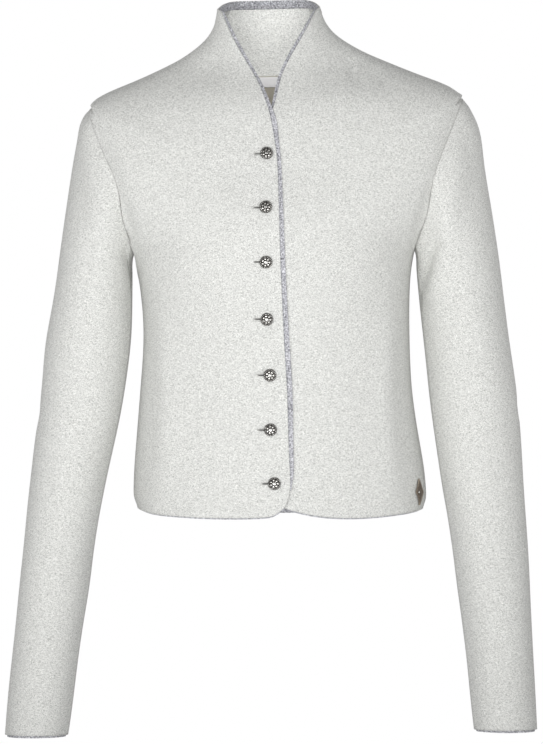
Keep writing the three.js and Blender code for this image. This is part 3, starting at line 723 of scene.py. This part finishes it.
# Buttons: a cast rosette with a beaded rim, a ring of petals and a boss with small hollows
# Sizes in millimetres. Places across the face are shares of its radius, or of the boss's for the dots.
rosette = {
    "radius": 6.2, "backEdge": 0.7, "bevelHeight": 0.6, "sideHeight": 1.4,
    "rimHeight": 2.0, "domeHeight": 3.2, "rings": 40, "turns": 132, "backHollow": 0.75,
    "petals": 7, "petalFrom": 0.34, "petalTo": 0.78,
    "petalHeight": 0.9, "petalSide": 0.55, "petalEnds": 0.5,
    "veinWidth": 0.12, "veinHollow": 0.175, "veinDepth": 0.0875,
    "beads": 20, "beadHeight": 0.45, "beadSpread": 1.1,
    "beadEnds": 0.6, "beadHollow": 0.85, "beadFloor": 0.35,
    "bossHeight": 0.5, "bossRim": 0.92, "bossStep": 0.35, "bossHollowFrom": 0.82,
    "bossDots": 5, "dotPlace": 0.55, "dotSize": 0.16, "dotDepth": 0.3,
}
shank = {"width": 3.0, "thick": 1.0, "length": 3.8, "inHead": 0.4}
buttonNames = ["button_%d" % number for number in range(1, 8)]


# Each of these gives the height added to the dome and how hollow the face is, at a place across its ring.
def petalRing(across, angle):
    turn = rosette["petals"] * angle / 2
    petal = abs(math.cos(turn)) ** rosette["petalSide"] * math.sin(math.pi * across) ** rosette["petalEnds"]
    vein = math.exp(-(math.sin(turn) / rosette["veinWidth"]) ** 2) * math.sin(math.pi * across)
    height = rosette["petalHeight"] * (petal - 1) - rosette["veinDepth"] * vein
    return height, 1 - petal + rosette["veinHollow"] * vein


def beadedRim(across, angle):
    bead = 0.5 + 0.5 * math.cos(rosette["beads"] * angle)
    body = math.sin(math.pi * min(across * rosette["beadSpread"], 1)) ** rosette["beadEnds"]
    lit = (rosette["beadFloor"] + (1 - rosette["beadFloor"]) * bead) * body
    return rosette["beadHeight"] * (bead * body - 1), rosette["beadHollow"] * (1 - lit)


def dottedBoss(across, angle):
    height = rosette["bossHeight"] * math.sqrt(max(1 - across ** 2, 0))
    if across > rosette["bossRim"]:
        height -= rosette["bossStep"]
    hollow = smoothStep(across, rosette["bossHollowFrom"], 1.0)
    for dot in range(rosette["bossDots"]):
        turn = 2 * math.pi * dot / rosette["bossDots"]
        sideways = across * math.cos(angle) - rosette["dotPlace"] * math.cos(turn)
        upwards = across * math.sin(angle) - rosette["dotPlace"] * math.sin(turn)
        dent = math.exp(-(math.hypot(sideways, upwards) / rosette["dotSize"]) ** 2)
        height -= rosette["dotDepth"] * dent
        hollow = max(hollow, dent)
    return height, hollow


# Height of the face above the rosette's plane, and how hollow it is there.
def rosetteHeight(share, angle):
    dome = rosette["domeHeight"] - (rosette["domeHeight"] - rosette["rimHeight"]) * share ** 2
    petalFrom, petalTo = rosette["petalFrom"], rosette["petalTo"]
    if petalFrom < share < petalTo:
        height, hollow = petalRing((share - petalFrom) / (petalTo - petalFrom), angle)
    elif share >= petalTo:
        height, hollow = beadedRim((share - petalTo) / (1 - petalTo), angle)
    else:
        height, hollow = dottedBoss(share / petalFrom, angle)
    return dome + height, min(max(float(hollow), 0), 1)


def rosetteShape():
    shape = bmesh.new()
    radius = rosette["radius"]
    rings = rosette["rings"]
    profile = [(0.0, 0.0), (radius * 0.5, 0.0), (radius - rosette["backEdge"], 0.0)]
    profile += [(radius, rosette["bevelHeight"]), (radius, rosette["sideHeight"])]
    profile += [(radius * (1 - step / rings), rosette["rimHeight"]) for step in range(rings + 1)]
    corners = [shape.verts.new((x, 0, z)) for x, z in profile]
    edges = [shape.edges.new(pair) for pair in zip(corners, corners[1:])]
    bmesh.ops.spin(
        shape, geom=corners + edges, cent=(0, 0, 0), axis=(0, 0, 1), dvec=(0, 0, 0),
        angle=2 * math.pi, steps=rosette["turns"], use_merge=True,
    )
    bmesh.ops.remove_doubles(shape, verts=shape.verts, dist=0.001)
    bmesh.ops.recalc_face_normals(shape, faces=shape.faces)
    hollows = shape.verts.layers.float.new("hollow")
    for vertex in shape.verts:
        share = math.hypot(vertex.co.x, vertex.co.y) / radius
        if vertex.co.z < rosette["rimHeight"] - 0.01:
            vertex[hollows] = rosette["backHollow"]
            continue
        vertex.co.z, vertex[hollows] = rosetteHeight(share, math.atan2(vertex.co.y, vertex.co.x))
    stem = bmesh.ops.create_cube(shape, size=1)["verts"]
    stemLength = shank["length"] + shank["inHead"]
    bmesh.ops.scale(shape, verts=stem, vec=(shank["width"], shank["thick"], stemLength))
    bmesh.ops.translate(shape, verts=stem, vec=(0, 0, shank["inHead"] - stemLength / 2))
    for face in shape.faces:
        face.smooth = len(face.verts) < 5 and not all(vertex in stem for vertex in face.verts)
    bmesh.ops.scale(shape, verts=shape.verts, vec=(mm, mm, mm))
    return meshFrom(shape, "Rosette")


rosetteMesh = rosetteShape()
frontTree = surfaceTree(["right_front"])
buttonGap = 0.3 * mm
eitherSide = 3.5 * mm


# The matrix that sets a button's face along the cloth, found from the cloth above and below its buttonhole.
def buttonMatrix(name):
    low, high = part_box(name)
    centre = (Vector(low) + Vector(high)) / 2
    above = castOn(frontTree, "front", centre.x, centre.z + eitherSide)
    below = castOn(frontTree, "front", centre.x, centre.z - eitherSide)
    normal = (above[1] + below[1]).normalized()
    place = (above[0] + below[0]) / 2
    across = Vector((0, 0, 1)).cross(normal).normalized()
    up = normal.cross(across)
    basis = Matrix((across, up, normal)).transposed().to_4x4()
    basis.translation = place + normal * buttonGap
    moved = foldMoves(np.array([tuple(place)])) + softWaves([tuple(place)])
    return Matrix.Translation(Vector(moved[0])) @ basis


buttonPlaces = {}
for buttonName in buttonNames:
    place = buttonMatrix(buttonName)
    buttonPlaces[buttonName] = place
    mesh = rosetteMesh.copy()
    mesh.name = buttonName.replace("button_", "rosette")
    mesh.transform(place)
    mesh.materials.append(materials["silver"])
    piece = newObject(mesh.name, mesh)
    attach(piece, "root")
    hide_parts(buttonName)
print("buttons made:", len(buttonNames))


# Leather diamond with a soft worn edge, and its small rivet
leatherDiamond = {
    "crease": 0.75, "times": 3, "edge": 1.3,
    "rivet": 1.3, "rivetHeight": 0.5, "fromCorner": 3.4,
}


def leatherPatch():
    mesh = meshFrom(nodeShell("leather_patch", leatherDiamond["crease"]), "leatherDiamond")
    mesh = subdivided(mesh, "leatherDiamond", leatherDiamond["times"])
    shapeCloth(mesh)
    points = readPoints(mesh)
    low, high = points.min(axis=0), points.max(axis=0)
    middle, half = (low + high) / 2, (high - low) / 2
    spread = np.abs(points[:, 0] - middle[0]) / half[0] + np.abs(points[:, 2] - middle[2]) / half[2]
    worn = smoothStep(spread, 1 - leatherDiamond["edge"] * mm / half[0], 1.0)
    attribute = mesh.attributes.new("edge", "FLOAT", "POINT")
    attribute.data.foreach_set("value", worn)
    mesh.materials.clear()
    mesh.materials.append(materials["leather"])
    piece = newObject("leatherDiamond", mesh)
    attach(piece, "root")
    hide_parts("leather_patch")
    return piece


def patchRivet(patch):
    tree = BVHTree.FromObject(patch, bpy.context.evaluated_depsgraph_get())
    points = readPoints(patch.data)
    low, high = points.min(axis=0), points.max(axis=0)
    sideways = low[0] + leatherDiamond["fromCorner"] * mm
    point, normal = castOn(tree, "front", sideways, (low[2] + high[2]) / 2)
    rivet = bmesh.new()
    bmesh.ops.create_uvsphere(rivet, u_segments=24, v_segments=12, radius=leatherDiamond["rivet"] * mm)
    bmesh.ops.scale(rivet, verts=rivet.verts, vec=(1, 1, leatherDiamond["rivetHeight"]))
    turn = normal.to_track_quat("Z", "Y").to_matrix().to_4x4()
    bmesh.ops.transform(rivet, matrix=Matrix.Translation(point) @ turn, verts=rivet.verts)
    rivet.verts.layers.float.new("hollow")  # 0 all over: bright silver
    for face in rivet.faces:
        face.smooth = True
    piece = newObject("patchRivet", meshFrom(rivet, "patchRivet"))
    piece.data.materials.append(materials["silver"])
    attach(piece, "root")


patchRivet(leatherPatch())
print("leather patch made")


# Buttonhole stitches: short threads laid over the rim of each slot, closer together at its far end,
# and painted shadow: a near-black cord along the bottom of the slot that keeps the slot dark
stitching = {
    "length": 14.4, "height": 1.8, "fromCentre": 2.2,
    "every": 0.6, "reach": 1.2, "openEnd": 0.2, "closedEnd": 0.75, "wide": 0.6, "thick": 0.4,
    "colour": (0.66, 0.66, 0.635),
    # The near-black cord sunk in the slot is painted shadow for the dark slit, not a real thread
    "slotShadowColour": (0.05, 0.048, 0.045), "slotShadowDepth": 1.1, "slotShadowWide": 1.5, "slotShadowThick": 0.6,
    "castFrom": 6, "castFor": 12, "endAngles": (-60, -30, 0, 30, 60),
}


# Points and outward directions round a buttonhole, in its own plane, in millimetres.
def slotOutline():
    half = stitching["height"] / 2
    right = stitching["fromCentre"]
    left = right - stitching["length"]
    straight = int(stitching["length"] / stitching["every"])
    rim = []
    for step in range(straight + 1):
        x = left + (right - left) * step / straight
        rim += [((x, half), (0, 1)), ((x, -half), (0, -1))]
    for angle in stitching["endAngles"]:
        turn = math.radians(angle)
        rim.append(((right, half * math.sin(turn)), (math.cos(turn), math.sin(turn))))
        rim.append(((left, half * math.sin(turn)), (-math.cos(turn), math.sin(turn))))
    return rim


def buttonholeStitches(name):
    place = buttonPlaces[name]
    facing = place.to_3x3()
    clothTree = BVHTree.FromObject(finished["right_front"], bpy.context.evaluated_depsgraph_get())
    threads = bmesh.new()
    size = Matrix.Diagonal((
        stitching["reach"] * mm, stitching["wide"] * mm, stitching["thick"] * mm, 1,
    ))
    for (x, y), (outX, outY) in slotOutline():
        outside = Vector((x + outX * stitching["reach"] / 2, y + outY * stitching["reach"] / 2, 0)) * mm
        above = place @ (outside + Vector((0, 0, stitching["castFrom"] * mm)))
        hit, normal, _, _ = clothTree.ray_cast(above, -facing.col[2], stitching["castFor"] * mm)
        if hit is None:
            continue
        along = (facing @ Vector((outX, outY, 0))).normalized()
        along = (along - normal * along.dot(normal)).normalized()
        turn = Matrix((along, normal.cross(along), normal)).transposed().to_4x4()
        thread = bmesh.ops.create_icosphere(threads, subdivisions=1, radius=0.5)["verts"]
        nearButton = (x + stitching["length"] - stitching["fromCentre"]) / stitching["length"]
        inwards = stitching["closedEnd"] + (stitching["openEnd"] - stitching["closedEnd"]) * nearButton
        spot = Matrix.Translation(hit - along * inwards * mm)
        bmesh.ops.transform(threads, matrix=spot @ turn @ size, verts=thread)
    stitchCount = len(threads.faces)
    # Painted shadow: a near-black cord under the slot hides the pale cloth seen through it
    cord = bmesh.ops.create_uvsphere(threads, u_segments=16, v_segments=8, radius=0.5)["verts"]
    cordSize = Matrix.Diagonal((
        stitching["length"] * mm, stitching["slotShadowWide"] * mm, stitching["slotShadowThick"] * mm, 1,
    ))
    middle = (stitching["fromCentre"] - stitching["length"] / 2) * mm
    spot = Matrix.Translation((middle, 0, -stitching["slotShadowDepth"] * mm))
    bmesh.ops.transform(threads, matrix=place @ spot @ cordSize, verts=cord)
    for number, face in enumerate(threads.faces):
        face.smooth = True
        face.material_index = int(number >= stitchCount)
    return threads


threadLook = {"rough": 0.7, "sheen": 0.1, "twistScale": 2600, "darker": 0.7, "bump": 0.5, "relief": 0.0002}


def makeThread(name, colour):
    material, tree, shader, place = newMaterial(name, threadLook["rough"], sheen=threadLook["sheen"])
    twist = noiseNode(tree, place, threadLook["twistScale"], 2, 0.5)
    dark = tuple(threadLook["darker"] * part for part in colour)
    tree.links.new(mixColours(tree, twist, dark, colour), shader.inputs["Base Color"])
    bumpInto(tree, shader, twist, threadLook["bump"], threadLook["relief"])
    return material


allStitches = bmesh.new()
for buttonName in buttonNames:
    stitches = buttonholeStitches(buttonName)
    mesh = meshFrom(stitches, "part")
    allStitches.from_mesh(mesh)
    bpy.data.meshes.remove(mesh)
stitchPiece = newObject("buttonholeStitches", meshFrom(allStitches, "buttonholeStitches"))
stitchPiece.data.materials.append(makeThread("Buttonhole thread", stitching["colour"]))
# Second material: near-black painted shadow for the slots
stitchPiece.data.materials.append(makeThread("Painted slot shadow", stitching["slotShadowColour"]))
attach(stitchPiece, "root")
print("buttonhole stitches made")


# Camera, floor and light
camera = {"place": (-0.0055, -7.0, -0.312), "frameTall": 0.744, "sensor": 36, "clip": (0.1, 100)}
lamps = [
    {"name": "Front light", "place": (-1.5, -2.8, -0.5), "size": 0.9, "power": 18},
    {"name": "Second light", "place": (1.2, -3.0, -0.62), "size": 1.4, "power": 13},
    {"name": "Low light", "place": (-0.1, -1.7, -0.66), "size": 0.5, "power": 8},
]
neckLamp = {
    "place": (-0.0055, -2.4, 0.35), "aim": (-0.0055, 0.06, 0.0),
    "power": 185, "cone": 3.2, "blend": 0.3, "size": 0.05,
    "lights": ["back", "neck_facing", "neck_label"],
}
surroundings = {
    "seen": (1, 1, 1), "light": (1, 1, 1),
    "strength": 0.6, "brighterTowards": (0, -0.24, -0.42), "lift": 1.0,
    "mirrored": 0.7, "mirroredTowards": (0.5, -0.1, -0.85), "mirroredLift": 0.55,
}
floor = {
    "height": -0.72, "near": -1.1, "far": 0.6, "side": 0.95,
    "colour": (0.86, 0.86, 0.86), "rough": 0.8,
}
aimAt = (-0.0055, 0, -0.312)


def makeCamera():
    data = bpy.data.cameras.new("Camera")
    data.sensor_width = camera["sensor"]
    data.lens = camera["sensor"] * -camera["place"][1] / camera["frameTall"]
    data.clip_start, data.clip_end = camera["clip"]
    thing = newObject("Camera", data)
    thing.location = camera["place"]
    thing.rotation_euler = (math.radians(90), 0, 0)
    bpy.context.scene.camera = thing


def placeLamp(name, data, place, aim):
    lamp = newObject(name, data)
    lamp.location = place
    lamp.rotation_mode = "QUATERNION"
    lamp.rotation_quaternion = (Vector(place) - Vector(aim)).to_track_quat("Z", "Y")
    return lamp


def makeLamp(row):
    data = bpy.data.lights.new(row["name"], "AREA")
    data.shape = "SQUARE"
    data.size = row["size"]
    data.energy = row["power"]
    placeLamp(row["name"], data, row["place"], aimAt)


# A narrow lamp for the inside of the neck alone
def makeNeckLamp():
    data = bpy.data.lights.new("Neck light", "SPOT")
    data.energy = neckLamp["power"]
    data.spot_size = math.radians(neckLamp["cone"])
    data.spot_blend = neckLamp["blend"]
    data.shadow_soft_size = neckLamp["size"]
    lamp = placeLamp("Neck light", data, neckLamp["place"], neckLamp["aim"])
    lit = bpy.data.collections.new("Inside of the neck")
    for name in neckLamp["lights"]:
        lit.objects.link(finished[name])
    lamp.light_linking.receiver_collection = lit


# How far a direction of the surroundings looks the given way, raised by the lift.
def shareTowards(tree, direction, towards, lift):
    product = addNode(tree, "ShaderNodeVectorMath", operation="DOT_PRODUCT")
    tree.links.new(direction, product.inputs[0])
    product.inputs[1].default_value = towards
    return mathNode(tree, "ADD", product.outputs["Value"], lift)


def makeWorld():
    world = bpy.data.worlds.new("Studio")
    bpy.context.scene.world = world
    world.use_nodes = True
    tree = world.node_tree
    tree.nodes.clear()
    seen = addNode(tree, "ShaderNodeBackground")
    seen.inputs["Color"].default_value = (*surroundings["seen"], 1)
    light = addNode(tree, "ShaderNodeBackground")
    light.inputs["Color"].default_value = (*surroundings["light"], 1)
    direction = addNode(tree, "ShaderNodeTexCoord").outputs["Generated"]
    share = shareTowards(tree, direction, surroundings["brighterTowards"], surroundings["lift"])
    soft = mathNode(tree, "MULTIPLY", share, surroundings["strength"])
    share = shareTowards(tree, direction, surroundings["mirroredTowards"], surroundings["mirroredLift"])
    glossy = mathNode(tree, "MULTIPLY", mathNode(tree, "MAXIMUM", share, 0.0), surroundings["mirrored"])
    path = addNode(tree, "ShaderNodeLightPath")
    either = addNode(tree, "ShaderNodeMix", data_type="FLOAT")
    tree.links.new(path.outputs["Is Glossy Ray"], either.inputs[0])
    tree.links.new(soft, either.inputs[2])
    tree.links.new(glossy, either.inputs[3])
    tree.links.new(either.outputs[0], light.inputs["Strength"])
    mix = addNode(tree, "ShaderNodeMixShader")
    out = addNode(tree, "ShaderNodeOutputWorld")
    tree.links.new(path.outputs["Is Camera Ray"], mix.inputs[0])
    tree.links.new(light.outputs[0], mix.inputs[1])
    tree.links.new(seen.outputs[0], mix.inputs[2])
    tree.links.new(mix.outputs[0], out.inputs[0])


def makeFloor():
    shape = bmesh.new()
    bmesh.ops.create_grid(shape, x_segments=1, y_segments=1, size=1)
    depth = floor["far"] - floor["near"]
    middle = (floor["far"] + floor["near"]) / 2
    bmesh.ops.scale(shape, verts=shape.verts, vec=(floor["side"], depth / 2, 1))
    bmesh.ops.translate(shape, verts=shape.verts, vec=(0, middle, floor["height"]))
    thing = newObject("floor", meshFrom(shape, "floor"))
    material = bpy.data.materials.new("Pale floor")
    material.use_nodes = True
    shader = material.node_tree.nodes["Principled BSDF"]
    shader.inputs["Base Color"].default_value = (*floor["colour"], 1)
    shader.inputs["Roughness"].default_value = floor["rough"]
    thing.data.materials.append(material)


makeCamera()
for lampRow in lamps:
    makeLamp(lampRow)
makeNeckLamp()
makeWorld()
makeFloor()
bpy.context.scene.view_settings.view_transform = "Standard"
print("stage set")
